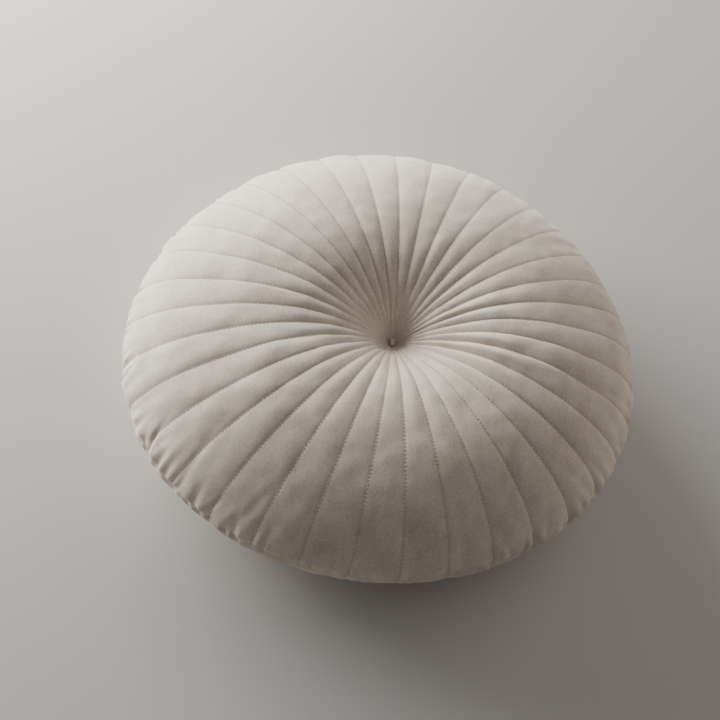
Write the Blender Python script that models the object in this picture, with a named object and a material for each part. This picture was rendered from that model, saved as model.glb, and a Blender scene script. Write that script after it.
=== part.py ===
"""Round velvet cushion with channels sewn from a tuft in its middle to the rim.

The cushion lies on its back on the plane z = 0, with its face up.
Sizes are in metres, and +Z is up.
"""

import math

import bmesh
import bpy

# Plan of the cushion
CHANNELS = 36               # padded channels round the face, with a sewn seam between each two
RIM_RADIUS = 0.198          # tuft to rim seam, measured along the bottom of a channel seam
OFFSET = 0.0037             # how far the rim lies off the tuft, towards -X
OVAL = 0.021                # share by which the rim is stretched and squeezed into an oval
OVAL_TURN = math.radians(36)
LOBES = 0.008               # share by which the rim bulges three times round
LOBE_TURN = math.radians(-26)
FIRST_SEAM = math.radians(3.5)

# The seams aren't sewn quite evenly: each drifts to one side, in shares of a channel
SLOW_DRIFT = 0.20
SLOW_DRIFT_TURN = math.radians(22)
QUICK_DRIFT = 0.13
QUICK_DRIFT_TURN = math.radians(60)

# Section from the tuft to the rim, along a seam
FRONT_CROWN = 0.0720        # rim seam up to the face, before the tuft draws it in
FRONT_FULLNESS = 2.0        # how far out the crown stays full
BACK_CROWN = 0.0540         # rim seam down to the back, before it is drawn in and pressed flat
BACK_FULLNESS = 2.6
PRESSED_BACK = 0.0475       # rim seam down to the surface that the cushion lies on
RIM_ROUNDNESS = 0.55        # how sharply the crown comes down to the rim seam
RIM_TURN = 6                # how near the rim the padding turns outwards and the draw ends
FRONT_DRAW = 0.0580         # depth to which the tuft draws in the face
BACK_DRAW = 0.0200          # depth to which it draws in the back
DRAW_WIDTH = 0.0530         # distance from the tuft over which most of that depth is gained
DRAW_SHAPE = 1.06
PIT_DEPTH = 0.0050          # steep pit round the tie, below the drawn-in face
PIT_WIDTH = 0.0046

# Padding of the channels
CHANNEL_PUFF = 0.0056       # height to which a channel's crest is filled over its seams
PUFF_START = 0.0400         # distance from the tuft over which the crests rise
PUFF_HOLD = 0.46            # share of the way to the rim over which they stay high
PUFF_FALL = 2.2             # how quickly they come down from there
RIM_PUFF = 0.30             # share of their height that is left at the rim seam
PUFF_ROUNDNESS = 0.8        # under 1 makes the seams narrow and the crests broad
PUFF_UNEVENNESS = 0.14      # share by which the channels differ in height
PUFF_CYCLE = 2.4            # change in that unevenness from one channel to the next
SEAM_CROWDING = 0.05        # share of a channel by which points are drawn to the seams

# Points of the surface
STEPS_PER_CHANNEL = 4
RINGS = 32                  # from the tuft over the rim to the middle of the back, an even number
RING_SPREAD = 1.6           # over 1 crowds the rings towards the tuft

# Tie at the tuft: a knot, a smaller knot and two thread ends in a V
THREAD_RADIUS = 0.0007
KNOT_RADIUS = 0.0014
SMALL_KNOT_RADIUS = 0.0011
SMALL_KNOT_REACH = 0.0014
SMALL_KNOT_TURN = math.radians(-110)
THREAD_END_REACH = 0.0045
THREAD_END_TURNS = (math.radians(118), math.radians(66))
CLEARANCE = 0.0004          # between the tie and the cloth


def remove_scene_objects():
    for item in list(bpy.data.objects):
        bpy.data.objects.remove(item, do_unlink=True)


def make_material(name, colour, roughness, metallic):
    material = bpy.data.materials.new(name)
    material.use_nodes = True
    surface = material.node_tree.nodes["Principled BSDF"]
    surface.inputs["Base Color"].default_value = (*colour, 1.0)
    surface.inputs["Roughness"].default_value = roughness
    surface.inputs["Metallic"].default_value = metallic
    return material


def make_collection(name):
    collection = bpy.data.collections.new(name)
    bpy.context.scene.collection.children.link(collection)
    return collection


def seam_turn(channels_round):
    """Angle in plan of a place counted in channels from the first seam."""
    even = 2 * math.pi * channels_round / CHANNELS
    slow = SLOW_DRIFT * math.cos(even + SLOW_DRIFT_TURN)
    quick = QUICK_DRIFT * math.cos(2 * even + QUICK_DRIFT_TURN)
    return FIRST_SEAM + even + 2 * math.pi * (slow + quick) / CHANNELS


def plan_scale(turn, reach):
    """Stretch of the plan at an angle: none at the tuft, the whole of it at the rim."""
    offset = -OFFSET / RIM_RADIUS * math.cos(turn)
    oval = OVAL * math.cos(2 * (turn - OVAL_TURN))
    lobes = LOBES * math.cos(3 * (turn - LOBE_TURN))
    return 1 + (offset + oval + lobes) * reach ** 2


def channel_puff(channels_round):
    """Height of the padding over the seams: 0 on a seam, the most on a crest."""
    channel = math.floor(channels_round)
    across = channels_round - channel
    uneven = 1 + PUFF_UNEVENNESS * math.sin(PUFF_CYCLE * channel)
    return CHANNEL_PUFF * uneven * math.sin(math.pi * across) ** PUFF_ROUNDNESS


def section(reach, puff, crown, fullness, draw, pit):
    """Radius and height over the rim seam, from the tuft (reach 0) to the rim (reach 1)."""
    radius = RIM_RADIUS * reach
    at_rim = reach ** RIM_TURN
    dome = crown * (1 - reach ** fullness) ** RIM_ROUNDNESS
    drawn_in = draw * math.exp(-(radius / DRAW_WIDTH) ** DRAW_SHAPE) * (1 - at_rim)
    pit_drop = pit * math.exp(-(radius / PIT_WIDTH) ** 2.5)
    rise = 1 - math.exp(-radius / PUFF_START)
    fall = RIM_PUFF + (1 - RIM_PUFF) * math.exp(-(reach / PUFF_HOLD) ** PUFF_FALL)
    padding = puff * rise * fall
    lean = math.pi / 2 * at_rim
    height = dome - drawn_in - pit_drop
    return radius + padding * math.sin(lean), height + padding * math.cos(lean)


def face_section(reach, puff):
    return section(reach, puff, FRONT_CROWN, FRONT_FULLNESS, FRONT_DRAW, PIT_DEPTH)


def back_section(reach, puff):
    return section(reach, puff, BACK_CROWN, BACK_FULLNESS, BACK_DRAW, 0.0)


def ring_reach(ring):
    """Share of the way from the tuft to the rim at which a ring of points lies."""
    return math.sin(math.pi * ring / RINGS) ** RING_SPREAD


def cushion_point(column, ring):
    """Place of one point of the cushion, with the rim seam at height 0."""
    steps = column / STEPS_PER_CHANNEL
    across = steps - math.floor(steps)
    channels_round = steps - SEAM_CROWDING * math.sin(2 * math.pi * across)
    turn = seam_turn(channels_round)
    puff = channel_puff(channels_round)
    reach = ring_reach(ring)
    if ring <= RINGS // 2:
        radius, height = face_section(reach, puff)
    else:
        radius, depth = back_section(reach, puff)
        height = -min(depth, PRESSED_BACK)
    radius *= plan_scale(turn, reach)
    return radius * math.cos(turn), radius * math.sin(turn), height


def make_cushion(collection):
    """Filled body: a sphere's net, laid on the quilted face, the rim and the pressed back."""
    columns = CHANNELS * STEPS_PER_CHANNEL
    net = bmesh.new()
    bmesh.ops.create_uvsphere(net, u_segments=columns, v_segments=RINGS, radius=1.0)
    for vertex in net.verts:
        x, y, z = vertex.co
        column = round(math.atan2(y, x) / (2 * math.pi) * columns) % columns
        ring = round(math.acos(max(-1.0, min(1.0, z))) / math.pi * RINGS)
        vertex.co = cushion_point(column, ring)
    mesh = bpy.data.meshes.new("cushion")
    net.to_mesh(mesh)
    net.free()
    mesh.shade_smooth()
    cushion = bpy.data.objects.new("cushion", mesh)
    collection.objects.link(cushion)
    middle_x = (max(v.co.x for v in mesh.vertices) + min(v.co.x for v in mesh.vertices)) / 2
    middle_y = (max(v.co.y for v in mesh.vertices) + min(v.co.y for v in mesh.vertices)) / 2
    cushion.location = (-middle_x, -middle_y, PRESSED_BACK)
    mesh.materials.append(make_material("cream velvet", (0.60, 0.53, 0.46), 0.9, 0.0))
    return cushion


def on_pit_wall(reach, turn, thickness, slope):
    """Middle of a round thing that lies just clear of the pit's wall, from the pit's bottom."""
    height = reach * math.tan(slope) + (thickness + CLEARANCE) / math.cos(slope)
    return reach * math.cos(turn), reach * math.sin(turn), height


def make_thread(collection, slope):
    """Two thread ends that rise from the bottom of the pit in a V."""
    curve = bpy.data.curves.new("thread", "CURVE")
    curve.dimensions = "3D"
    curve.bevel_depth = THREAD_RADIUS
    curve.bevel_resolution = 2
    curve.use_fill_caps = True
    spline = curve.splines.new("POLY")
    spline.points.add(2)
    bottom = on_pit_wall(0.0, 0.0, THREAD_RADIUS, slope)
    ends = [on_pit_wall(THREAD_END_REACH, turn, THREAD_RADIUS, slope) for turn in THREAD_END_TURNS]
    for point, place in zip(spline.points, (ends[0], bottom, ends[1])):
        point.co = (*place, 1.0)
    source = bpy.data.objects.new("thread", curve)
    collection.objects.link(source)
    evaluated = source.evaluated_get(bpy.context.evaluated_depsgraph_get())
    mesh = bpy.data.meshes.new_from_object(evaluated)
    bpy.data.objects.remove(source, do_unlink=True)
    net = bmesh.new()
    net.from_mesh(mesh)
    bmesh.ops.remove_doubles(net, verts=net.verts, dist=0.00001)
    net.to_mesh(mesh)
    net.free()
    mesh.shade_smooth()
    return mesh


def make_knot(name, radius, place, cutters):
    """Round knot, kept apart from the model, that is joined to the thread."""
    mesh = bpy.data.meshes.new(name)
    net = bmesh.new()
    bmesh.ops.create_icosphere(net, subdivisions=2, radius=radius)
    net.to_mesh(mesh)
    net.free()
    mesh.shade_smooth()
    knot = bpy.data.objects.new(name, mesh)
    knot.location = place
    knot.hide_render = True
    knot.display_type = "WIRE"
    cutters.objects.link(knot)
    return knot


def make_tuft_tie(cushion, collection, cutters):
    """Knotted tie that shows in the pit where all the seams meet."""
    pit_radius, pit_rim = face_section(ring_reach(1), 0.0)
    pit_bottom = face_section(0.0, 0.0)[1]
    slope = math.atan2(pit_rim - pit_bottom, pit_radius)
    tie = bpy.data.objects.new("tuft_tie", make_thread(collection, slope))
    collection.objects.link(tie)
    tie.parent = cushion
    tie.location = (0.0, 0.0, pit_bottom)
    tie.data.materials.append(make_material("tie thread", (0.42, 0.37, 0.31), 0.8, 0.0))
    knots = (
        ("knot", KNOT_RADIUS, on_pit_wall(0.0, 0.0, KNOT_RADIUS, slope)),
        ("small_knot", SMALL_KNOT_RADIUS,
         on_pit_wall(SMALL_KNOT_REACH, SMALL_KNOT_TURN, SMALL_KNOT_RADIUS, slope)),
    )
    for name, radius, place in knots:
        knot = make_knot(name, radius, place, cutters)
        knot.parent = tie
        union = tie.modifiers.new(name, "BOOLEAN")
        union.operation = "UNION"
        union.solver = "EXACT"
        union.object = knot
    return tie


def main():
    remove_scene_objects()
    collection = make_collection("round_cushion")
    cutters = make_collection("round_cushion_cutters")
    cushion = make_cushion(collection)
    make_tuft_tie(cushion, collection, cutters)


main()
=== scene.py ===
"""Looks of a round velvet cushion with channels sewn from a tied tuft to its rim seam.

Everything is in metres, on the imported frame: +Z is up, and the cushion lies on its back on z = 0.
"""

import math
import random
from collections import namedtuple

import bmesh
import bpy
import numpy as np
from mathutils import Matrix, Vector, noise
from mathutils.bvhtree import BVHTree


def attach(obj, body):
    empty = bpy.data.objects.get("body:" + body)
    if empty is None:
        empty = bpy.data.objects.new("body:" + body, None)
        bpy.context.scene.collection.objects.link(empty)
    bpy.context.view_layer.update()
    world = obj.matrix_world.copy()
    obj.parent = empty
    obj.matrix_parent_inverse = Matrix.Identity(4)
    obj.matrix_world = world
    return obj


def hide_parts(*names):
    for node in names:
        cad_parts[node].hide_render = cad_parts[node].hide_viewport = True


bl_info = {
    "name": "Round Channel Cushion",
    "version": (1, 0, 0),
    "blender": (4, 5, 0),
    "location": "View3D > Sidebar > Cushion",
    "description": "Builds a round velvet cushion with sewn channels, its stitches and its tuft tie",
    "category": "Object",
}

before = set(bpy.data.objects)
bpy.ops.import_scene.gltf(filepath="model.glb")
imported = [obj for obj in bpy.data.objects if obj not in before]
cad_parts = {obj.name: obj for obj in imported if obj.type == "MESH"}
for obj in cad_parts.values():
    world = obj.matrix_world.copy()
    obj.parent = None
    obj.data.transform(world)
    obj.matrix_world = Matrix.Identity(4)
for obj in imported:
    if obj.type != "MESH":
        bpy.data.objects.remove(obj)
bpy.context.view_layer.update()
BODY = "root"
TINY = 1e-9                 # makes up for rounding just under a whole number, or stands for a 0

# ---------------------------------------------------------------- plan of the cushion
CHANNELS = 36
RIM_RADIUS = 0.198          # tuft to rim seam, along the bottom of a channel seam
RIM_OFFSET = 0.0037         # the rim lies this far off the tuft, towards -X
OVAL, OVAL_TURN = 0.021, math.radians(36)       # share of the radius, and where it is widest
LOBES, LOBE_TURN = 0.008, math.radians(-26)
FIRST_SEAM = math.radians(3.5)
# Uneven sewing, in shares of a channel.
SLOW_DRIFT, SLOW_DRIFT_TURN = 0.20, math.radians(22)
QUICK_DRIFT, QUICK_DRIFT_TURN = 0.13, math.radians(60)

# ---------------------------------------------------------------- section from tuft to rim
# The crown is a panel's height over the rim seam if nothing drew it in, and a higher fullness
# keeps it high further out. Draw is the depth of the wide dish round the tuft, and pit is that
# of the steep pit round the tie, below the dish.
Panel = namedtuple("Panel", "crown fullness draw draw_width draw_shape pit")
FRONT_PANEL = Panel(0.0720, 2.0, 0.0580, 0.0545, 1.18, 0.0034)
BACK_PANEL = Panel(0.0540, 2.6, 0.0200, 0.0530, 1.06, 0.0)
PIT_WIDTH, PIT_STEEPNESS = 0.0032, 2.5
PRESSED_BACK = 0.0475       # rim seam down to the surface that the cushion lies on
RIM_ROUNDNESS = 0.55
RIM_TURN = 6                # the higher it is, the nearer to the rim the padding leans outwards
RIM_SEAM_HEIGHT = 0.0040    # the rim seam lies this far in front of the widest line

# ---------------------------------------------------------------- padding of the channels
# Filling is how high a channel is filled far out, how high in its fold at the tuft, and how far
# that fold leans to one side.
Filling = namedtuple("Filling", "far_out folds skew")
PUFF_START_STEEPNESS = 1.15
PUFF_HOLD, PUFF_HOLD_STEEPNESS = 0.43, 2.2      # share of the way to the rim with high crests
FOLDED_OUT_TO, FOLDED_STEEPNESS = 0.100, 2.2    # channels are round folds up to about here
FOLD_ROUNDNESS, CHANNEL_ROUNDNESS = 1.6, 0.92   # under 1 is flat-topped
FOLD_SKEW = 0.14            # most that a fold's crest lies off its middle, as a share of its width
FOLD_FILL = (0.7, 1.35)     # range within which single folds are flatter or fuller
FILL_SEED = 7875
MERGED_OUT_TO = 0.015       # out to here channels run together into the folds at the tuft
CHANNELS_PER_FOLD = (2, 1, 2, 2, 3, 1, 2, 1, 2, 2, 1, 2, 3, 1, 2, 2, 1, 2, 2, 2)
EVEN_FILL = 0.74            # mean height of the crests, as a share of the channel puff
# Fuller and flatter sides of the cushion: waves in one round, share, degrees of a crest.
FILL_WAVES = ((1, 0.18, 133), (2, 0.33, -27), (3, 0.38, -17))
FOLD_WAVES = ((1, 0.45, -29), (2, 0.15, -6), (3, 0.09, 12), (4, 0.06, 19))

# ---------------------------------------------------------------- net of points
COLUMNS_PER_CHANNEL = 10
COLUMN_CROWDING = 0.06      # share of a channel by which columns are drawn to the seams
COLUMNS = CHANNELS * COLUMNS_PER_CHANNEL
FRONT_RINGS = 46
BACK_RINGS = 22
SECTION_STEPS = 2001        # places at which the section is measured to space the rings
TUFT_CROWDING, CROWDED_OUT_TO = 0.65, 0.25      # rings lie closer together up to this reach
RIM_CROWDING, RIM_CROWDING_TURN = 0.45, 12      # and again close to the rim
TUFT_SEARCH = 0.020         # the bottom of the CAD cushion's dish lies this near to its middle

# ---------------------------------------------------------------- filling
HELD_ROUND_TUFT = 0.15      # the tie holds the cloth up to this share of the way to the rim
HELD_AT_RIM = 0.999         # and the rim seam holds it from this share on
CLOTH = {"quality": 6, "mass": 0.3, "tension_stiffness": 15, "compression_stiffness": 15,
         "shear_stiffness": 5, "bending_stiffness": 9.0, "use_pressure": True}
CLOTH_FRAMES = 20
SPREAD_PASSES = 12          # times that the cloth's movement is evened out along the channels

# ---------------------------------------------------------------- sewing
SEWN_FROM = 0.045           # nearer to the tuft than this, a channel seam is only a fold
PAINTED_SEAM_SHADE_WIDTH = 0.0014       # half width of the faint dark line of painted shade along a channel seam's crease
GROOVE_DEPTH, GROOVE_WIDTH = 0.0012, 0.0016                     # along the rim seam
ROLL_HEIGHT, ROLL_PLACE, ROLL_WIDTH = 0.0006, 0.0036, 0.0015    # in front of the rim seam
UNEVEN_FROM = 0.020         # nearer to the tuft than this, the cloth is drawn tight
UNEVENNESS = ((0.0011, 26), (0.0004, 80))       # height of a wave, and waves in a metre
TURN_STEPS = 40             # places in each channel at which its angle is looked up
GATHER_SEED = 7
LONG_PLACES, SHORT_PLACES = (0.1, 0.9), (0.2, 0.8)      # how far across its stretch one may lie
NOTCH_WIDTH, NOTCH_LENGTH, NOTCH_DEPTHS = 0.0034, 0.011, (0.40, 0.95)   # where a channel ends
# Ranges of a gather's half width, length, depth share and slant.
LONG_GATHERS = ((0.0035, 0.0065), (0.022, 0.050), (0.1, 0.45), (-0.30, 0.30))
SHORT_GATHERS = ((0.0016, 0.0036), (0.006, 0.018), (0.3, 1.2), (-0.45, 0.45))
SHORT_GATHER_COUNTS = (1, 2, 2, 3)      # in one channel
GATHER_SIDES, GATHER_ENDS = 4, 2.2      # half widths and lengths after which a gather is cut off
SWELL, SWELL_WIDTH = 0.45, 2.2          # the cloth rises beside a gather: share, and half widths

# ---------------------------------------------------------------- stitches
# Rings between which each channel seam is stitched. The folds at the tuft hide the rest.
STITCHED_RINGS = {
    "face_stitches": range(13, FRONT_RINGS - 1),
    "back_stitches": range(FRONT_RINGS + 1, FRONT_RINGS + BACK_RINGS - 2),
}
STITCH_LIFT = 0.0002        # middle of the thread over the bottom of its seam
LOWEST_STITCH = 0.0004      # the cushion's weight presses its back stitches into the pile

# ---------------------------------------------------------------- tuft tie
TIE_REACH = 0.0045          # length of each thread end, seen from above
TIE_TURNS = (math.radians(118), math.radians(66))       # ways that the two ends point
TIE_THREAD, TIE_PLIES, TIE_TWIST = 0.0007, 3, 0.0024    # radius, plies, length of one twist
TIE_LIFT = 1.3              # middle of the thread over the cloth, in radii
TIE_STEPS = 60
PLY_RADIUS, PLY_SPREAD = 0.52, 0.5      # of a ply, and of the plies' circle, in thread radii
# Knots: place from the tuft in X and Y, middle over the cloth, radius, radius of the thread.
KNOTS = ((0.0, 0.0, 0.0030, 0.0020, 0.0006), (-0.0010, 0.0034, 0.0022, 0.0014, 0.0005))
KNOT_WINDINGS = ((20, 0), (75, 40), (80, 130))          # degrees of tilt and turn
KNOT_STEPS, KNOT_SIDES = 14, 6
MERGE_DISTANCE = 0.000005

# ---------------------------------------------------------------- finish
PILE_GRAIN = 0.0011         # real tufts of pile stand about 0.3 mm apart, too close to show
NAP_PATCH = 0.018           # patches in which the pile lies one way
NAP_STRETCH = 0.4           # the pile is brushed along Y, so all of it is drawn out that way
THREAD_PLY = 0.0006
BOARD_MOTTLE = 1 / 3        # slow unevenness of a rolled coat of paint
SHEEN_COLOUR = "F4EEE6"
# Painted shade: the velvet is darkened towards this colour, by this share, along the crease of each
# channel seam.
PAINTED_SEAM_SHADE_COLOUR, PAINTED_SEAM_SHADE_SHARE = "8C7F72", 0.05
LIGHTER_FIBRES = 1.35       # lightest fibres of a thread, against its colour
BOARD_SHADE = 0.97          # darkest paint of the board, against its colour

# ---------------------------------------------------------------- stage
FLOOR_SIZE, FLOOR_DROP = 6.0, 0.0003
LIGHT_AIM = (0.0, 0.0, 0.05)
LIGHTS = (                  # name, place, width and height, watts, colour
    ("window", (-0.98, 0.66, 0.29), (1.4, 0.56), 60, "FFFDFA"),
    ("room", (1.0, 1.0, 0.5), (1.4, 1.4), 10, "FFF3EC"),
)
ROOM_COLOUR, ROOM_STRENGTH = "E8E4E2", 0.21
CAMERA_TILT, CAMERA_ROLL = math.radians(33.8), math.radians(14.8)   # off +Z, and about the view
CAMERA_DISTANCE = 1.034     # from the tuft, at the height of the rim seam
CAMERA = {"lens": 65.5, "shift_x": -0.0404, "shift_y": -0.00875, "clip_start": 0.05, "clip_end": 50}


class CushionSizes(bpy.types.PropertyGroup):
    """Sizes of the padding and the sewing."""

    channel_puff: bpy.props.FloatProperty(
        name="Channel Puff", description="Height of a channel's crest over its seams",
        default=0.0040, min=0.0, unit="LENGTH")
    puff_start: bpy.props.FloatProperty(
        name="Puff Start", description="Distance from the tuft over which the crests rise",
        default=0.0550, min=0.001, unit="LENGTH")
    rim_puff: bpy.props.FloatProperty(
        name="Rim Puff", description="Share of the crests' height left at the rim seam",
        default=0.26, min=0.0, max=1.0, subtype="FACTOR")
    slack: bpy.props.FloatProperty(
        name="Slack", description="Share by which the cloth is cut longer than the filling needs",
        default=0.004, min=0.0, max=0.3, subtype="FACTOR")
    pressure: bpy.props.FloatProperty(
        name="Filling Pressure", description="Pressure of the filling on the cloth",
        default=4.0)
    travel: bpy.props.FloatProperty(
        name="Travel", description="Most that the filling moves a point of the cloth",
        default=0.0025, unit="LENGTH")
    seam_pinch: bpy.props.FloatProperty(
        name="Seam Pinch", description="Depth to which the stitching pulls in a channel seam",
        default=0.0002, unit="LENGTH")
    seam_width: bpy.props.FloatProperty(
        name="Seam Width", description="Half width of the crease along a channel seam",
        default=0.0008, unit="LENGTH")
    gather_depth: bpy.props.FloatProperty(
        name="Gather Depth", description="Depth of the small gathers along the rim seam",
        default=0.0032, unit="LENGTH")
    stitch_pitch: bpy.props.FloatProperty(
        name="Stitch Pitch", description="Distance from one stitch to the next",
        default=0.0029, min=0.001, unit="LENGTH")
    stitch_length: bpy.props.FloatProperty(
        name="Stitch Length", description="Visible length of one stitch",
        default=0.0014, min=0.0005, unit="LENGTH")
    thread_radius: bpy.props.FloatProperty(
        name="Thread Radius", description="Radius of the sewing thread",
        default=0.00035, min=0.0001, unit="LENGTH")


class CushionFinish(bpy.types.PropertyGroup):
    """Colours, as sRGB hex values."""

    velvet: bpy.props.StringProperty(
        name="Velvet", description="Colour of the pile", default="EADFD2")
    velvet_crushed: bpy.props.StringProperty(
        name="Velvet Nap", description="Colour of the pile where it lies the other way",
        default="C2B6A9")
    thread: bpy.props.StringProperty(
        name="Thread", description="Colour of the sewing thread", default="A59888")
    tie: bpy.props.StringProperty(
        name="Tie", description="Colour of the tuft's tie", default="F0E8DD")
    floor: bpy.props.StringProperty(
        name="Floor", description="Colour of the floor", default="CCCAC7")


# ---------------------------------------------------------------- shape

def nearness(distance, width, steepness=2):
    """Share that is 1 at a distance of 0, and has fallen most of the way to 0 a width away."""
    return np.exp(-(distance / width) ** steepness)


def seam_turn(channels_round):
    """Angle in plan of a place counted in channels from the first seam."""
    even = 2 * np.pi * channels_round / CHANNELS
    slow = SLOW_DRIFT * np.cos(even + SLOW_DRIFT_TURN)
    quick = QUICK_DRIFT * np.cos(2 * even + QUICK_DRIFT_TURN)
    return FIRST_SEAM + even + 2 * np.pi * (slow + quick) / CHANNELS


def plan_scale(turn, reach):
    """Stretch of the plan at an angle: none at the tuft, the whole of it at the rim."""
    offset = -RIM_OFFSET / RIM_RADIUS * np.cos(turn)
    oval = OVAL * np.cos(2 * (turn - OVAL_TURN))
    lobes = LOBES * np.cos(3 * (turn - LOBE_TURN))
    return 1 + (offset + oval + lobes) * reach ** 2


def fill_shares(radius, filling):
    """How full each channel is at a distance from the tuft, and how far it is a round fold."""
    folded = nearness(radius, FOLDED_OUT_TO, FOLDED_STEEPNESS)
    return filling.far_out + (filling.folds - filling.far_out) * folded, folded


def section(reach, across, in_fold, filling, sizes, panel):
    """Radius and height over the rim seam, from the tuft (reach 0) to the rim (reach 1)."""
    radius = RIM_RADIUS * reach
    at_rim = reach ** RIM_TURN
    dome = panel.crown * (1 - reach ** panel.fullness) ** RIM_ROUNDNESS
    dish = panel.draw * nearness(radius, panel.draw_width, panel.draw_shape) * (1 - at_rim)
    pit = panel.pit * nearness(radius, PIT_WIDTH, PIT_STEEPNESS)
    fill, folded = fill_shares(radius, filling)
    roundness = CHANNEL_ROUNDNESS + (FOLD_ROUNDNESS - CHANNEL_ROUNDNESS) * folded
    skewed = across + filling.skew * folded * np.sin(np.pi * across) ** 2
    crest = np.sin(np.pi * skewed).clip(0) ** roundness
    crest = crest + (np.sin(np.pi * in_fold).clip(0) - crest) * nearness(radius, MERGED_OUT_TO)
    rise = 1 - nearness(radius, sizes.puff_start, PUFF_START_STEEPNESS)
    held = nearness(reach, PUFF_HOLD, PUFF_HOLD_STEEPNESS)
    fall = sizes.rim_puff + (1 - sizes.rim_puff) * held
    padding = sizes.channel_puff * fill * crest * rise * fall
    lean = np.pi / 2 * at_rim
    return radius + padding * np.sin(lean), dome - dish - pit + padding * np.cos(lean)


def ring_reaches(count, sizes, panel):
    """Shares of the way to the rim at which rings of points lie, closest at tuft and rim."""
    reach = np.linspace(0, 1, SECTION_STEPS)
    radius, height = section(reach, 0.0, 0.0, Filling(1, 1, 0), sizes, panel)
    length = np.hypot(np.diff(radius), np.diff(height))
    middle = (reach[1:] + reach[:-1]) / 2
    at_tuft = 1 - TUFT_CROWDING + np.minimum(middle / CROWDED_OUT_TO, 1) * TUFT_CROWDING
    spacing = at_tuft - RIM_CROWDING * middle ** RIM_CROWDING_TURN
    rings = np.concatenate([[0], np.cumsum(length / spacing)])
    return np.interp(np.linspace(0, rings[-1], count + 1)[1:], rings, reach)


def channel_filling():
    """Filling of every channel."""
    pick = random.Random(FILL_SEED)
    turn = seam_turn(np.arange(CHANNELS) + 0.5)
    far_out, folds = (
        EVEN_FILL + sum(share * np.cos(count * (turn - math.radians(crest)))
                        for count, share, crest in waves)
        for waves in (FILL_WAVES, FOLD_WAVES))
    folds = folds * np.array([pick.uniform(*FOLD_FILL) for _ in range(CHANNELS)])
    skew = np.array([pick.uniform(-FOLD_SKEW, FOLD_SKEW) for _ in range(CHANNELS)])
    return Filling(far_out, folds, skew)


def places_in_folds(channels_round):
    """Share of the way across its fold at the tuft, for places counted in channels."""
    starts = np.concatenate([[0], np.cumsum(CHANNELS_PER_FOLD)])
    fold = np.searchsorted(starts, channels_round + TINY, side="right") - 1
    return ((channels_round - starts[fold]) / np.diff(starts)[fold]).clip(0, 1)


def net_points(sizes):
    """Rings of points from the tuft over the rim to the middle of the back, about the rim seam.

    Each ring is its reach (below 0 on the back), its fill shares and its points.
    """
    steps = np.arange(COLUMNS) / COLUMNS_PER_CHANNEL
    across = steps - np.floor(steps)
    channels_round = steps - COLUMN_CROWDING * np.sin(2 * np.pi * across)
    across = channels_round - np.floor(channels_round + TINY)
    turn = seam_turn(channels_round)
    channel = np.floor(steps + TINY).astype(int)
    in_fold = places_in_folds(channels_round)
    filling = Filling(*(shares[channel] for shares in channel_filling()))
    front = ring_reaches(FRONT_RINGS, sizes, FRONT_PANEL)
    back = ring_reaches(BACK_RINGS, sizes, BACK_PANEL)[:-1][::-1]
    rings = []
    for side, panel, reaches in ((1, FRONT_PANEL, front), (-1, BACK_PANEL, back)):
        for reach in reaches:
            radius, height = section(reach, across, in_fold, filling, sizes, panel)
            radius = radius * plan_scale(turn, reach)
            fill = fill_shares(RIM_RADIUS * reach, filling)[0]
            rings.append((reach * side, fill, np.stack(
                [radius * np.cos(turn), radius * np.sin(turn), height * side], axis=1)))
    return rings


def tuft_place():
    """Middle of the tuft on the CAD cushion, with the height of the rim seam."""
    dish = [v.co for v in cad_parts["cushion"].data.vertices
            if v.co.z > PRESSED_BACK and math.hypot(v.co.x, v.co.y) < TUFT_SEARCH]
    bottom = min(dish, key=lambda place: place.z)
    return Vector((bottom.x, bottom.y, PRESSED_BACK))


def keep_shares(mesh, name, shares):
    """Keeps one number for each point of a mesh, as an attribute."""
    mesh.attributes.new(name, "FLOAT", "POINT").data.foreach_set("value", shares)


def kept_shares(mesh, name):
    """Numbers that keep_shares kept, with those of the points that subdivision added."""
    shares = np.zeros(len(mesh.vertices))
    mesh.attributes[name].data.foreach_get("value", shares)
    return shares


def point_rows(mesh, name):
    """Places ("co") or normals ("normal") of a mesh's points, one row each."""
    flat = np.zeros(len(mesh.vertices) * 3)
    mesh.vertices.foreach_get(name, flat)
    return flat.reshape(-1, 3)


def plain_mesh(item):
    """Copy of an object's finished shape, with its modifiers worked in."""
    evaluated = item.evaluated_get(bpy.context.evaluated_depsgraph_get())
    return bpy.data.meshes.new_from_object(evaluated)


def make_net(sizes):
    """Net of the cushion, open in its two middles, that keeps each point's reach and fill."""
    rings = net_points(sizes)
    faces = []
    for ring in range(len(rings) - 1):
        near, far = ring * COLUMNS, (ring + 1) * COLUMNS
        for c in range(COLUMNS):
            d = (c + 1) % COLUMNS
            faces.append((near + c, far + c, far + d, near + d))
    mesh = bpy.data.meshes.new("velvet_cushion")
    points = np.concatenate([ring for _, _, ring in rings]) + np.array(tuft_place())
    mesh.from_pydata(points.tolist(), [], faces)
    keep_shares(mesh, "reach", np.repeat([reach for reach, _, _ in rings], COLUMNS))
    keep_shares(mesh, "fill", np.concatenate([fill for _, fill, _ in rings]))
    mesh.update()
    return mesh


def sewn_points(mesh):
    """Points that the sewing holds: the channel seams, the rim seam and the tuft."""
    reach = np.abs(kept_shares(mesh, "reach"))
    on_seam = np.arange(len(reach)) % COLUMNS % COLUMNS_PER_CHANNEL == 0
    held = on_seam | (reach < HELD_ROUND_TUFT) | (reach > HELD_AT_RIM)
    return [int(i) for i in np.flatnonzero(held)]


def spread_along_channels(moved):
    """Evens out the cloth's movement along its channels, so that no wrinkle lies across them."""
    rings = moved.reshape(-1, COLUMNS, 3).copy()
    for _ in range(SPREAD_PASSES):
        rings[1:-1] = (rings[:-2] + 2 * rings[1:-1] + rings[2:]) / 4
    return rings.reshape(-1, 3)


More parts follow.
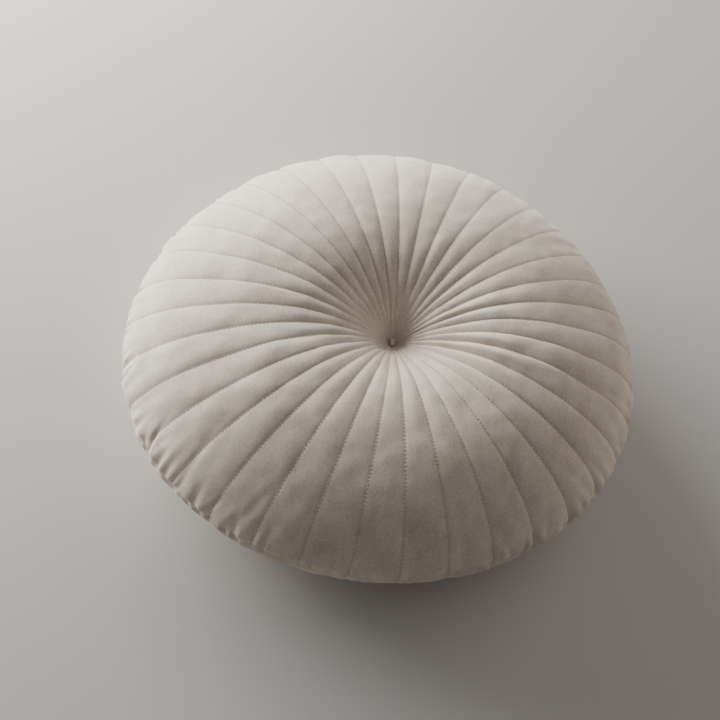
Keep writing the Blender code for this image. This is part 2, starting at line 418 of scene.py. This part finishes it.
def fill_with_pressure(cushion, sizes):
    """Lets the filling press the cloth out between its seams, then keeps that shape."""
    start = point_rows(cushion.data, "co")
    group = cushion.vertex_groups.new(name="sewn")
    group.add(sewn_points(cushion.data), 1.0, "REPLACE")
    cloth = cushion.modifiers.new("filling", "CLOTH")
    for name, value in CLOTH.items():
        setattr(cloth.settings, name, value)
    cloth.settings.uniform_pressure_force = sizes.pressure
    cloth.settings.shrink_min = -sizes.slack
    cloth.settings.vertex_group_mass = "sewn"
    cloth.settings.effector_weights.gravity = 0
    cloth.collision_settings.use_collision = False
    cloth.collision_settings.use_self_collision = False
    scene = bpy.context.scene
    for step in range(1, CLOTH_FRAMES + 1):
        scene.frame_set(step)
    filled = cushion.evaluated_get(bpy.context.evaluated_depsgraph_get()).to_mesh()
    fill = kept_shares(cushion.data, "fill")
    moved = spread_along_channels(point_rows(filled, "co") - start) * fill[:, None]
    cushion.modifiers.remove(cloth)
    cushion.vertex_groups.remove(group)
    scene.frame_set(1)
    length = np.linalg.norm(moved, axis=1, keepdims=True)
    moved *= np.minimum(1, sizes.travel / np.maximum(length, TINY))
    cushion.data.vertices.foreach_set("co", (start + moved).ravel())
    cushion.data.update()


def subdivide(cushion):
    """Rounds the net once, and keeps the result as a plain mesh."""
    smoother = cushion.modifiers.new("smooth", "SUBSURF")
    smoother.levels = 1
    smoother.render_levels = 1
    finer = plain_mesh(cushion)
    cushion.modifiers.remove(smoother)
    cushion.data = finer
    close_middles(finer)


def close_middles(mesh):
    """Closes the net with a fan of faces in the middle of the tuft and of the back."""
    net = bmesh.new()
    net.from_mesh(mesh)
    for above in (True, False):
        edges = [e for e in net.edges
                 if e.is_boundary and (e.verts[0].co.z > PRESSED_BACK) == above]
        rim = {v.index: v.co for e in edges for v in e.verts}
        middle = net.verts.new(sum(rim.values(), Vector()) / len(rim))
        for edge in edges:
            loop = edge.link_loops[0]
            net.faces.new((loop.link_loop_next.vert, loop.vert, middle))
    net.to_mesh(mesh)
    net.free()


def gather_list():
    """Small gathers at the rim: side, place in channels, half width, length, depth share, slant."""
    pick = random.Random(GATHER_SEED)
    gathers = []
    for channel in range(CHANNELS):
        depth = pick.uniform(*NOTCH_DEPTHS)
        gathers.extend((side, channel, NOTCH_WIDTH, NOTCH_LENGTH, depth, 0.0) for side in (1, -1))
    for side in (1, -1):
        for channel in range(CHANNELS):
            place = channel + pick.uniform(*LONG_PLACES)
            gathers.append((side, place, *[pick.uniform(*span) for span in LONG_GATHERS]))
    for side in (1, -1):
        for channel in range(CHANNELS):
            count = pick.choice(SHORT_GATHER_COUNTS)
            for i in range(count):
                place = channel + (i + pick.uniform(*SHORT_PLACES)) / count
                gathers.append((side, place, *[pick.uniform(*span) for span in SHORT_GATHERS]))
    return gathers


def sew(cushion, sizes):
    """Pulls in the channel seams, gathers the cloth at the rim and presses the back flat."""
    mesh = cushion.data
    points = point_rows(mesh, "co")
    flat = points - np.array(tuft_place())
    radius = np.hypot(flat[:, 0], flat[:, 1])
    table = np.linspace(-2, CHANNELS + 2, TURN_STEPS * (CHANNELS + 4) + 1)
    turn = np.arctan2(flat[:, 1], flat[:, 0]) % (2 * np.pi)
    channels_round = np.interp(turn, seam_turn(table), table)
    across = channels_round % 1
    from_seam = np.minimum(across, 1 - across) * 2 * np.pi * radius / CHANNELS
    along = (1 - np.abs(kept_shares(mesh, "reach"))) * RIM_RADIUS
    from_rim = np.hypot(along, flat[:, 2] - RIM_SEAM_HEIGHT)
    side = np.where(flat[:, 2] >= RIM_SEAM_HEIGHT, 1, -1)

    sewn_in = 1 - nearness(radius, SEWN_FROM)
    push = -sizes.seam_pinch * nearness(from_seam, sizes.seam_width) * sewn_in
    for gather_side, place, width, length, depth, slant in gather_list():
        away = (channels_round - place + CHANNELS / 2) % CHANNELS - CHANNELS / 2
        beside = away * 2 * np.pi * radius / CHANNELS - slant * from_rim
        near = ((side == gather_side) & (np.abs(beside) < GATHER_SIDES * width)
                & (from_rim < GATHER_ENDS * length))
        swell = SWELL * nearness(beside[near], SWELL_WIDTH * width)
        trough = nearness(beside[near], width) - swell
        push[near] -= sizes.gather_depth * depth * trough * nearness(from_rim[near], length)
    push -= GROOVE_DEPTH * nearness(from_rim, GROOVE_WIDTH)
    push += ROLL_HEIGHT * nearness(from_rim - ROLL_PLACE, ROLL_WIDTH) * (side > 0)
    for i in np.flatnonzero(radius > UNEVEN_FROM):
        place = Vector(points[i])
        push[i] += sum(height * noise.noise(place * waves) for height, waves in UNEVENNESS)
    points += point_rows(mesh, "normal") * push[:, None]
    points[:, 2] = np.maximum(points[:, 2], 0)
    mesh.vertices.foreach_set("co", points.ravel())
    # Keeps where the velvet gets painted shade: along the crease of each sewn channel seam.
    keep_shares(mesh, "crease", nearness(from_seam, PAINTED_SEAM_SHADE_WIDTH) * sewn_in)
    mesh.update()
    mesh.shade_smooth()


# ---------------------------------------------------------------- materials

def linear(hex_colour):
    """Linear RGBA of an sRGB hex colour."""
    shares = [int(hex_colour[i:i + 2], 16) / 255 for i in (0, 2, 4)]
    return (*[s / 12.92 if s <= 0.04045 else ((s + 0.055) / 1.055) ** 2.4 for s in shares], 1.0)


def add_node(tree, kind, settings=None, inputs=None):
    """Adds a node. A value in inputs is a socket to link from, or what the input is set to."""
    node = tree.nodes.new(kind)
    for name, value in (settings or {}).items():
        setattr(node, name, value)
    for name, value in (inputs or {}).items():
        if isinstance(value, bpy.types.NodeSocket):
            tree.links.new(value, node.inputs[name])
        else:
            node.inputs[name].default_value = value
    return node


def new_material(name):
    """Material with an empty node tree, and that tree."""
    material = bpy.data.materials.new(name)
    material.use_nodes = True
    material.node_tree.nodes.clear()
    return material, material.node_tree


def velvet_material(finish):
    """Cotton velvet: short upright pile, so a matt face, a soft sheen at the edge and a nap, with
    painted shade along the channel seams.
    """
    material, tree = new_material("cotton_velvet")
    place = add_node(tree, "ShaderNodeTexCoord").outputs["Object"]
    brushed = add_node(tree, "ShaderNodeMapping", inputs={
        "Vector": place, "Scale": (1.0, NAP_STRETCH, 1.0)})
    nap = add_node(tree, "ShaderNodeTexNoise", inputs={
        "Vector": brushed.outputs["Vector"], "Scale": 1 / NAP_PATCH, "Detail": 5.0,
        "Roughness": 0.62})
    grain = add_node(tree, "ShaderNodeTexNoise", inputs={
        "Vector": brushed.outputs["Vector"], "Scale": 1 / PILE_GRAIN, "Detail": 3.0,
        "Roughness": 0.7})
    nap_share = add_node(tree, "ShaderNodeMapRange", inputs={
        "Value": nap.outputs["Fac"], "From Min": 0.36, "From Max": 0.66,
        "To Min": 0.0, "To Max": 0.35})
    grain_share = add_node(tree, "ShaderNodeMapRange", inputs={
        "Value": grain.outputs["Fac"], "From Min": 0.34, "From Max": 0.66,
        "To Min": 0.12, "To Max": 0.66})
    share = add_node(tree, "ShaderNodeMath", {"operation": "ADD"}, {
        0: nap_share.outputs["Result"], 1: grain_share.outputs["Result"]})
    pile = add_node(tree, "ShaderNodeMix", {"data_type": "RGBA"}, {
        "Factor": share.outputs["Value"], "A": linear(finish.velvet),
        "B": linear(finish.velvet_crushed)})
    # Painted shade: a faint darkening along the crease of each channel seam, where shade falls.
    crease = add_node(tree, "ShaderNodeAttribute", {"attribute_name": "crease"})
    painted_shade_factor = add_node(tree, "ShaderNodeMath", {"operation": "MULTIPLY"}, {
        0: crease.outputs["Fac"], 1: PAINTED_SEAM_SHADE_SHARE})
    colour = add_node(tree, "ShaderNodeMix", {"data_type": "RGBA", "blend_type": "MULTIPLY"}, {
        "Factor": painted_shade_factor.outputs["Value"], "A": pile.outputs["Result"],
        "B": linear(PAINTED_SEAM_SHADE_COLOUR)})
    bump = add_node(tree, "ShaderNodeBump", inputs={
        "Height": grain.outputs["Fac"], "Strength": 0.16, "Distance": 0.0005})
    surface = add_node(tree, "ShaderNodeBsdfPrincipled", inputs={
        "Base Color": colour.outputs["Result"], "Roughness": 0.92, "Specular IOR Level": 0.15,
        "Sheen Weight": 0.35, "Sheen Roughness": 0.45, "Sheen Tint": linear(SHEEN_COLOUR),
        "Normal": bump.outputs["Normal"]})
    add_node(tree, "ShaderNodeOutputMaterial", inputs={"Surface": surface.outputs["BSDF"]})
    return material


def thread_material(name, hex_colour):
    """Spun polyester thread: dull, with a faint gloss along its ply."""
    material, tree = new_material(name)
    place = add_node(tree, "ShaderNodeTexCoord").outputs["Object"]
    ply = add_node(tree, "ShaderNodeTexNoise", inputs={
        "Vector": place, "Scale": 1 / THREAD_PLY, "Detail": 2.0})
    base = linear(hex_colour)
    lighter = [min(1.0, c * LIGHTER_FIBRES) for c in base[:3]]
    colour = add_node(tree, "ShaderNodeMix", {"data_type": "RGBA"}, {
        "Factor": ply.outputs["Fac"], "A": base, "B": (*lighter, 1.0)})
    bump = add_node(tree, "ShaderNodeBump", inputs={
        "Height": ply.outputs["Fac"], "Strength": 0.4, "Distance": 0.0001})
    surface = add_node(tree, "ShaderNodeBsdfPrincipled", inputs={
        "Base Color": colour.outputs["Result"], "Roughness": 0.7, "Sheen Weight": 0.15,
        "Normal": bump.outputs["Normal"]})
    add_node(tree, "ShaderNodeOutputMaterial", inputs={"Surface": surface.outputs["BSDF"]})
    return material


def floor_material(finish):
    """Matt painted board: even and dull, so that it only catches the shadow."""
    material, tree = new_material("matt_painted_board")
    place = add_node(tree, "ShaderNodeTexCoord").outputs["Object"]
    mottle = add_node(tree, "ShaderNodeTexNoise", inputs={
        "Vector": place, "Scale": 1 / BOARD_MOTTLE, "Detail": 2.0})
    base = linear(finish.floor)
    darker = [c * BOARD_SHADE for c in base[:3]]
    colour = add_node(tree, "ShaderNodeMix", {"data_type": "RGBA"}, {
        "Factor": mottle.outputs["Fac"], "A": base, "B": (*darker, 1.0)})
    surface = add_node(tree, "ShaderNodeBsdfPrincipled", inputs={
        "Base Color": colour.outputs["Result"], "Roughness": 0.85, "Specular IOR Level": 0.2})
    add_node(tree, "ShaderNodeOutputMaterial", inputs={"Surface": surface.outputs["BSDF"]})
    return material


# ---------------------------------------------------------------- stitches

def seam_lines(cushion, rings):
    """Lines along the bottoms of the channel seams, that keep the outward direction.

    Subdivision leaves the net's own points first, in their order, so they are found by number.
    """
    lines = bmesh.new()
    outward = lines.verts.layers.float_vector.new("outward")
    for channel in range(CHANNELS):
        previous = None
        for ring in rings:
            source = cushion.data.vertices[ring * COLUMNS + channel * COLUMNS_PER_CHANNEL]
            place = source.co + source.normal * STITCH_LIFT
            place.z = max(place.z, LOWEST_STITCH)
            vertex = lines.verts.new(place)
            vertex[outward] = source.normal
            if previous:
                lines.edges.new((previous, vertex))
            previous = vertex
    mesh = bpy.data.meshes.new("seam_lines")
    lines.to_mesh(mesh)
    lines.free()
    return mesh


def stitch_tree(material):
    """Geometry Nodes that lay one stitch after another along each line."""
    tree = bpy.data.node_groups.new("stitches_along_seams", "GeometryNodeTree")
    tree.interface.new_socket("Geometry", in_out="INPUT", socket_type="NodeSocketGeometry")
    for name in ("Pitch", "Length", "Thread Radius"):
        tree.interface.new_socket(name, in_out="INPUT", socket_type="NodeSocketFloat")
    tree.interface.new_socket("Geometry", in_out="OUTPUT", socket_type="NodeSocketGeometry")
    given = add_node(tree, "NodeGroupInput")
    radius = given.outputs["Thread Radius"]
    curves = add_node(tree, "GeometryNodeMeshToCurve", inputs={"Mesh": given.outputs["Geometry"]})
    spaced = add_node(tree, "GeometryNodeResampleCurve", {"mode": "LENGTH"}, {
        "Curve": curves.outputs["Curve"], "Length": given.outputs["Pitch"]})
    outward = add_node(tree, "GeometryNodeInputNamedAttribute", {"data_type": "FLOAT_VECTOR"}, {
        "Name": "outward"})
    tangent = add_node(tree, "GeometryNodeInputTangent")
    turn = add_node(
        tree, "FunctionNodeAxesToRotation", {"primary_axis": "X", "secondary_axis": "Z"}, {
            "Primary Axis": tangent.outputs["Tangent"],
            "Secondary Axis": outward.outputs["Attribute"]})
    ball = add_node(tree, "GeometryNodeMeshUVSphere", inputs={
        "Segments": 6, "Rings": 4, "Radius": 1.0})
    half = add_node(tree, "ShaderNodeMath", {"operation": "MULTIPLY"}, {
        0: given.outputs["Length"], 1: 0.5})
    scale = add_node(tree, "ShaderNodeCombineXYZ", inputs={
        "X": half.outputs["Value"], "Y": radius, "Z": radius})
    stitches = add_node(tree, "GeometryNodeInstanceOnPoints", inputs={
        "Points": spaced.outputs["Curve"], "Instance": ball.outputs["Mesh"],
        "Rotation": turn.outputs["Rotation"], "Scale": scale.outputs["Vector"]})
    solid = add_node(tree, "GeometryNodeRealizeInstances", inputs={
        "Geometry": stitches.outputs["Instances"]})
    coloured = add_node(tree, "GeometryNodeSetMaterial", inputs={
        "Geometry": solid.outputs["Geometry"], "Material": material})
    add_node(tree, "NodeGroupOutput", inputs={"Geometry": coloured.outputs["Geometry"]})
    return tree


def set_input(modifier, name, value):
    """Sets a Geometry Nodes input by the identifier of its socket."""
    socket = next(item for item in modifier.node_group.interface.items_tree
                  if item.in_out == "INPUT" and item.name == name)
    modifier[socket.identifier] = value


def make_stitches(name, cushion, rings, sizes, material):
    """Stitches along all the channel seams of one panel, as one plain mesh."""
    lines = bpy.data.objects.new(name, seam_lines(cushion, rings))
    bpy.context.scene.collection.objects.link(lines)
    modifier = lines.modifiers.new("stitches", "NODES")
    modifier.node_group = stitch_tree(material)
    set_input(modifier, "Pitch", sizes.stitch_pitch)
    set_input(modifier, "Length", sizes.stitch_length)
    set_input(modifier, "Thread Radius", sizes.thread_radius)
    mesh = plain_mesh(lines)
    lines.modifiers.remove(modifier)
    lines.data = mesh
    mesh.shade_smooth()
    return lines


# ---------------------------------------------------------------- tuft tie

def tie_route():
    """Places along the tie's two thread ends, from one tip through the knot to the other."""
    route = []
    for turn, quarters in zip(TIE_TURNS, ((4, 3, 2, 1), (0, 1, 2, 3, 4))):
        reaches = [quarter / 4 * TIE_REACH for quarter in quarters]
        route.extend((reach * math.cos(turn), reach * math.sin(turn)) for reach in reaches)
    return route


def on_cushion(tree, x, y, lift):
    """Place a little over the cushion's surface, straight above a place in plan."""
    hit = tree.ray_cast(Vector((x, y, 1.0)), Vector((0, 0, -1)))
    if hit[0] is None:
        raise RuntimeError("the tie lies off the cushion")
    return hit[0] + hit[1] * lift


def twisted_thread(path, radius, plies, twist_length):
    """Curves of the plies of a thread that follows a path."""
    curve = bpy.data.curves.new("thread", "CURVE")
    curve.dimensions = "3D"
    curve.bevel_depth = radius * PLY_RADIUS
    curve.bevel_resolution = 2
    curve.use_fill_caps = True
    lengths = [0.0]
    for a, b in zip(path, path[1:]):
        lengths.append(lengths[-1] + (b - a).length)
    for ply in range(plies):
        spline = curve.splines.new("POLY")
        spline.points.add(TIE_STEPS)
        for k in range(TIE_STEPS + 1):
            at = lengths[-1] * k / TIE_STEPS
            i = max(j for j in range(len(path) - 1) if lengths[j] <= at)
            share = (at - lengths[i]) / (lengths[i + 1] - lengths[i])
            middle = path[i].lerp(path[i + 1], share)
            along = (path[i + 1] - path[i]).normalized()
            side = along.cross(Vector((0, 0, 1))).normalized()
            angle = 2 * math.pi * (at / twist_length + ply / plies)
            spoke = Matrix.Rotation(angle, 3, along) @ side
            spline.points[k].co = (*(middle + spoke * radius * PLY_SPREAD), 1.0)
    return curve


def knot_ring(centre, radius, thread, tilt, turn):
    """One ring of thread wound about a knot, round its own axis."""
    ring = bmesh.new()
    axis = (Matrix.Rotation(math.radians(turn), 3, "Z")
            @ Matrix.Rotation(math.radians(tilt), 3, "X"))
    loops = []
    for i in range(KNOT_STEPS):
        a = 2 * math.pi * i / KNOT_STEPS
        spoke = Vector((math.cos(a), math.sin(a), 0))
        loop = []
        for j in range(KNOT_SIDES):
            b = 2 * math.pi * j / KNOT_SIDES
            out = radius - thread + thread * math.cos(b)
            place = spoke * out + Vector((0, 0, thread * math.sin(b)))
            loop.append(ring.verts.new(centre + axis @ place))
        loops.append(loop)
    for near, far in zip(loops, loops[1:] + loops[:1]):
        for j in range(KNOT_SIDES):
            k = (j + 1) % KNOT_SIDES
            ring.faces.new((near[j], far[j], far[k], near[k]))
    mesh = bpy.data.meshes.new("knot_ring")
    ring.to_mesh(mesh)
    ring.free()
    return mesh


def join_meshes(name, meshes):
    """One smooth mesh of several, with its faces pointing outwards."""
    whole = bmesh.new()
    for mesh in meshes:
        whole.from_mesh(mesh)
        bpy.data.meshes.remove(mesh)
    bmesh.ops.remove_doubles(whole, verts=whole.verts, dist=MERGE_DISTANCE)
    bmesh.ops.recalc_face_normals(whole, faces=whole.faces)
    mesh = bpy.data.meshes.new(name)
    whole.to_mesh(mesh)
    whole.free()
    mesh.shade_smooth()
    return mesh


# ---------------------------------------------------------------- operators

class CUSHION_OT_velvet(bpy.types.Operator):
    """Make the filled velvet cushion with its channels, gathers and rim seam"""

    bl_idname = "cushion.velvet"
    bl_label = "Velvet Cushion"

    def execute(self, context):
        sizes = context.scene.cushion_sizes
        cushion = bpy.data.objects.new("velvet_cushion", make_net(sizes))
        context.scene.collection.objects.link(cushion)
        fill_with_pressure(cushion, sizes)
        subdivide(cushion)
        sew(cushion, sizes)
        cushion.data.materials.append(velvet_material(context.scene.cushion_finish))
        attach(cushion, BODY)
        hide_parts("cushion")
        return {"FINISHED"}


class CUSHION_OT_stitches(bpy.types.Operator):
    """Sew the machine stitches along the channel seams of the face and the back"""

    bl_idname = "cushion.stitches"
    bl_label = "Channel Stitches"

    def execute(self, context):
        scene = context.scene
        cushion = bpy.data.objects["velvet_cushion"]
        material = thread_material("spun_polyester_thread", scene.cushion_finish.thread)
        for name, rings in STITCHED_RINGS.items():
            stitches = make_stitches(name, cushion, rings, scene.cushion_sizes, material)
            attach(stitches, BODY)
        return {"FINISHED"}


class CUSHION_OT_tie(bpy.types.Operator):
    """Tie the knot in the tuft where all the seams meet"""

    bl_idname = "cushion.tie"
    bl_label = "Tuft Tie"

    def execute(self, context):
        scene = context.scene
        cushion = bpy.data.objects["velvet_cushion"]
        tree = BVHTree.FromObject(cushion, context.evaluated_depsgraph_get())
        tuft = tuft_place()
        path = [on_cushion(tree, tuft.x + x, tuft.y + y, TIE_THREAD * TIE_LIFT)
                for x, y in tie_route()]
        thread = bpy.data.objects.new(
            "thread", twisted_thread(path, TIE_THREAD, TIE_PLIES, TIE_TWIST))
        scene.collection.objects.link(thread)
        meshes = [plain_mesh(thread)]
        bpy.data.objects.remove(thread)
        for x, y, lift, radius, winding in KNOTS:
            centre = on_cushion(tree, tuft.x + x, tuft.y + y, lift)
            meshes.extend(knot_ring(centre, radius, winding, tilt, turn)
                          for tilt, turn in KNOT_WINDINGS)
        tie = bpy.data.objects.new("knotted_tie", join_meshes("knotted_tie", meshes))
        scene.collection.objects.link(tie)
        tie.data.materials.append(
            thread_material("waxed_upholstery_thread", scene.cushion_finish.tie))
        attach(tie, BODY)
        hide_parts("tuft_tie")
        return {"FINISHED"}


def add_area_light(name, place, size, power, colour):
    """Soft light that faces the cushion."""
    lamp = bpy.data.lights.new(name, "AREA")
    lamp.shape = "RECTANGLE"
    lamp.size, lamp.size_y = size
    lamp.energy = power
    lamp.color = linear(colour)[:3]
    light = bpy.data.objects.new(name, lamp)
    light.location = place
    facing = Vector(LIGHT_AIM) - Vector(place)
    light.rotation_euler = facing.to_track_quat("-Z", "Y").to_euler()
    bpy.context.scene.collection.objects.link(light)


class CUSHION_OT_stage(bpy.types.Operator):
    """Set the floor, the light and the camera"""

    bl_idname = "cushion.stage"
    bl_label = "Stage"

    def execute(self, context):
        scene = context.scene
        mesh = bpy.data.meshes.new("floor")
        board = bmesh.new()
        bmesh.ops.create_grid(board, x_segments=1, y_segments=1, size=FLOOR_SIZE)
        board.to_mesh(mesh)
        board.free()
        mesh.materials.append(floor_material(scene.cushion_finish))
        floor = bpy.data.objects.new("floor", mesh)
        floor.location.z = -FLOOR_DROP
        scene.collection.objects.link(floor)

        for light in LIGHTS:
            add_area_light(*light)
        world = bpy.data.worlds.new("soft room")
        world.use_nodes = True
        background = world.node_tree.nodes["Background"]
        background.inputs["Color"].default_value = linear(ROOM_COLOUR)
        background.inputs["Strength"].default_value = ROOM_STRENGTH
        scene.world = world

        camera = bpy.data.objects.new("camera", bpy.data.cameras.new("camera"))
        for name, value in CAMERA.items():
            setattr(camera.data, name, value)
        away = Vector((0, -math.sin(CAMERA_TILT), math.cos(CAMERA_TILT)))
        turned = Matrix.Rotation(CAMERA_TILT, 4, "X") @ Matrix.Rotation(CAMERA_ROLL, 4, "Z")
        place = Matrix.Translation(tuft_place() + away * CAMERA_DISTANCE)
        camera.matrix_world = place @ turned
        scene.collection.objects.link(camera)
        scene.camera = camera
        return {"FINISHED"}


class CUSHION_PT_panel(bpy.types.Panel):
    """Sizes, colours and steps of the cushion"""

    bl_idname = "CUSHION_PT_panel"
    bl_label = "Round Cushion"
    bl_space_type = "VIEW_3D"
    bl_region_type = "UI"
    bl_category = "Cushion"

    def draw(self, context):
        for group in (context.scene.cushion_sizes, context.scene.cushion_finish):
            for name in group.__annotations__:
                self.layout.prop(group, name)
        for step in STEPS:
            self.layout.operator(step.bl_idname)


STEPS = (CUSHION_OT_velvet, CUSHION_OT_stitches, CUSHION_OT_tie, CUSHION_OT_stage)
CLASSES = (CushionSizes, CushionFinish, *STEPS, CUSHION_PT_panel)


def register():
    for item in CLASSES:
        bpy.utils.register_class(item)
    bpy.types.Scene.cushion_sizes = bpy.props.PointerProperty(type=CushionSizes)
    bpy.types.Scene.cushion_finish = bpy.props.PointerProperty(type=CushionFinish)


def unregister():
    del bpy.types.Scene.cushion_finish
    del bpy.types.Scene.cushion_sizes
    for item in reversed(CLASSES):
        bpy.utils.unregister_class(item)


def main():
    register()
    bpy.ops.cushion.velvet()
    bpy.ops.cushion.stitches()
    bpy.ops.cushion.tie()
    bpy.ops.cushion.stage()


if __name__ == "__main__":
    main()
